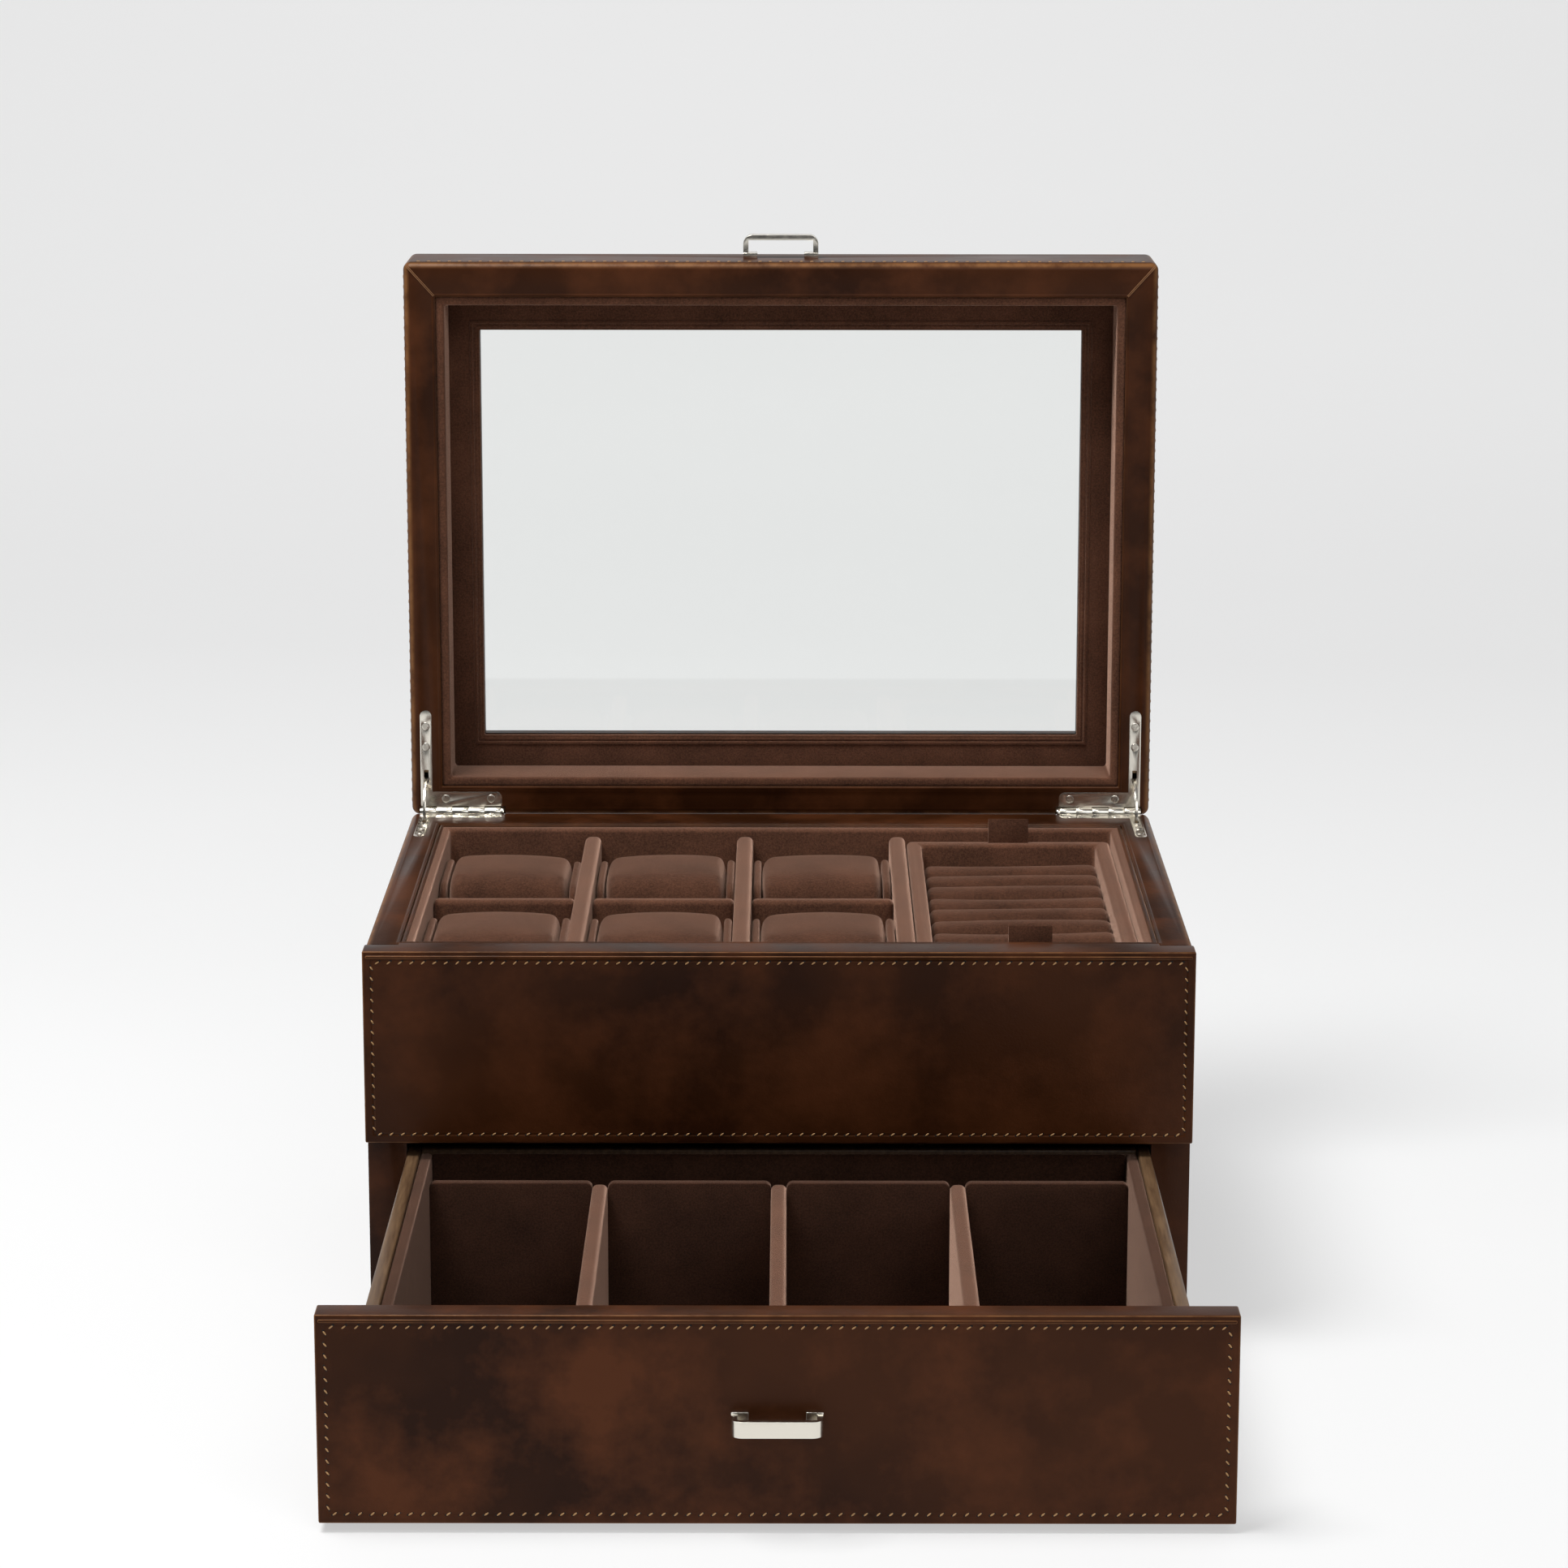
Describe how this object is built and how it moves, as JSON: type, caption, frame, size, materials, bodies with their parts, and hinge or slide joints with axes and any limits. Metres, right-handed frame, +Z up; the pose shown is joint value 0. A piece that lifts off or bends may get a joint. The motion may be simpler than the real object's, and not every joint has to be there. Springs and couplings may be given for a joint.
{
  "type": "jewellery case",
  "caption": "Leather-covered jewellery and watch case with a hinged window lid, watch pillows, a lift-out ring tray and a divided pull-out drawer.",
  "frame": {"origin": "centre of the case footprint, on the surface it stands on", "axes": "+X to the right seen from the front, +Y to the rear, +Z up; modelled with the lid open and the drawer pulled out"},
  "size_m": [0.32, 0.4837, 0.4067],
  "materials": {
    "leather": "waxed dark brown pull-up leather, rubbed lighter along the edges",
    "velvet": "short-pile brown velvet over card",
    "velvet_cushion": "short-pile brown velvet over foam",
    "board": "raw fibreboard, covered",
    "drawer_plank": "satin brown stained hardwood",
    "bay_lining": "matt brown lining cloth",
    "felt": "thin dark felt",
    "nickel": "polished nickel",
    "screw_steel": "polished nickel, cross-slotted",
    "glass": "clear float glass"
  },
  "bodies": {
    "case": {"base_felt": "felt", "base_board": "board", "side_board_left": "board", "side_board_right": "board", "back_board": "board", "shelf_board": "board", "front_panel_board": "board", "case_leather": "leather", "front_panel_leather": "leather", "bay_lining": "bay_lining", "tray_floor_velvet": "velvet", "tray_wall_liners": "velvet", "tray_divider_left": "velvet", "tray_divider_middle": "velvet", "tray_divider_right": "velvet", "tray_cross_dividers": "velvet", "hinge_case_leaf_left": "nickel", "hinge_case_leaf_right": "nickel", "hinge_pins": "nickel", "hinge_case_screws": "screw_steel"},
    "drawer": {"drawer_back": "drawer_plank", "drawer_bottom": "drawer_plank", "drawer_cross_panel": "velvet", "drawer_divider_left": "velvet", "drawer_divider_middle": "velvet", "drawer_divider_right": "velvet", "drawer_floor_velvet": "velvet", "drawer_front_board": "board", "drawer_front_leather": "leather", "drawer_pull": "nickel", "drawer_pull_screws": "screw_steel", "drawer_side_left": "drawer_plank", "drawer_side_right": "drawer_plank", "drawer_wall_velvet": "velvet"},
    "lid": {"lid_front_board": "board", "lid_leather": "leather", "lid_left_board": "board", "lid_pull": "nickel", "lid_pull_screws": "screw_steel", "lid_rear_board": "board", "lid_right_board": "board", "lid_top_rails": "board", "lid_wall_velvet": "velvet", "lid_window_velvet": "velvet", "window_glass": "glass", "hinge_lid_leaf_left": "nickel", "hinge_lid_leaf_right": "nickel", "hinge_lid_screws": "screw_steel"},
    "stay_left": {"stay_left": "nickel"},
    "stay_right": {"stay_right": "nickel"},
    "ring_tray": {"ring_tray_frame": "velvet", "ring_tray_base": "velvet", "ring_rolls": "velvet_cushion", "ring_tray_tabs": "velvet"},
    "pillow_front_left": {"watch_pillow_front_left": "velvet_cushion"},
    "pillow_front_middle": {"watch_pillow_front_middle": "velvet_cushion"},
    "pillow_front_right": {"watch_pillow_front_right": "velvet_cushion"},
    "pillow_rear_left": {"watch_pillow_rear_left": "velvet_cushion"},
    "pillow_rear_middle": {"watch_pillow_rear_middle": "velvet_cushion"},
    "pillow_rear_right": {"watch_pillow_rear_right": "velvet_cushion"}
  },
  "joints": [
    {"name": "lid_hinge", "type": "hinge", "parent": "case", "child": "lid", "pos_m": [0, 0.1185, 0.15825], "axis": [-1, 0, 0], "range_deg": [-90, 0]},
    {"name": "drawer_slide", "type": "slide", "parent": "case", "child": "drawer", "axis": [0, -1, 0], "range_m": [-0.1968, 0]},
    {"name": "stay_left_swing", "type": "hinge", "parent": "case", "child": "stay_left", "pos_m": [0, 0.1185, 0.15825], "axis": [-1, 0, 0], "range_deg": [-45, 0]},
    {"name": "stay_right_swing", "type": "hinge", "parent": "case", "child": "stay_right", "pos_m": [0, 0.1185, 0.15825], "axis": [-1, 0, 0], "range_deg": [-45, 0]},
    {"name": "ring_tray_lift", "type": "slide", "parent": "case", "child": "ring_tray", "axis": [0, 0, 1], "range_m": [0, 0.07]},
    {"name": "pillow_front_left_lift", "type": "slide", "parent": "case", "child": "pillow_front_left", "axis": [0, 0, 1], "range_m": [0, 0.07]},
    {"name": "pillow_front_middle_lift", "type": "slide", "parent": "case", "child": "pillow_front_middle", "axis": [0, 0, 1], "range_m": [0, 0.07]},
    {"name": "pillow_front_right_lift", "type": "slide", "parent": "case", "child": "pillow_front_right", "axis": [0, 0, 1], "range_m": [0, 0.07]},
    {"name": "pillow_rear_left_lift", "type": "slide", "parent": "case", "child": "pillow_rear_left", "axis": [0, 0, 1], "range_m": [0, 0.07]},
    {"name": "pillow_rear_middle_lift", "type": "slide", "parent": "case", "child": "pillow_rear_middle", "axis": [0, 0, 1], "range_m": [0, 0.07]},
    {"name": "pillow_rear_right_lift", "type": "slide", "parent": "case", "child": "pillow_rear_right", "axis": [0, 0, 1], "range_m": [0, 0.07]}
  ],
  "couplings": [
    {"joint": "stay_left_swing", "follows": "lid_hinge", "ratio": 0.5},
    {"joint": "stay_right_swing", "follows": "lid_hinge", "ratio": 0.5}
  ]
}
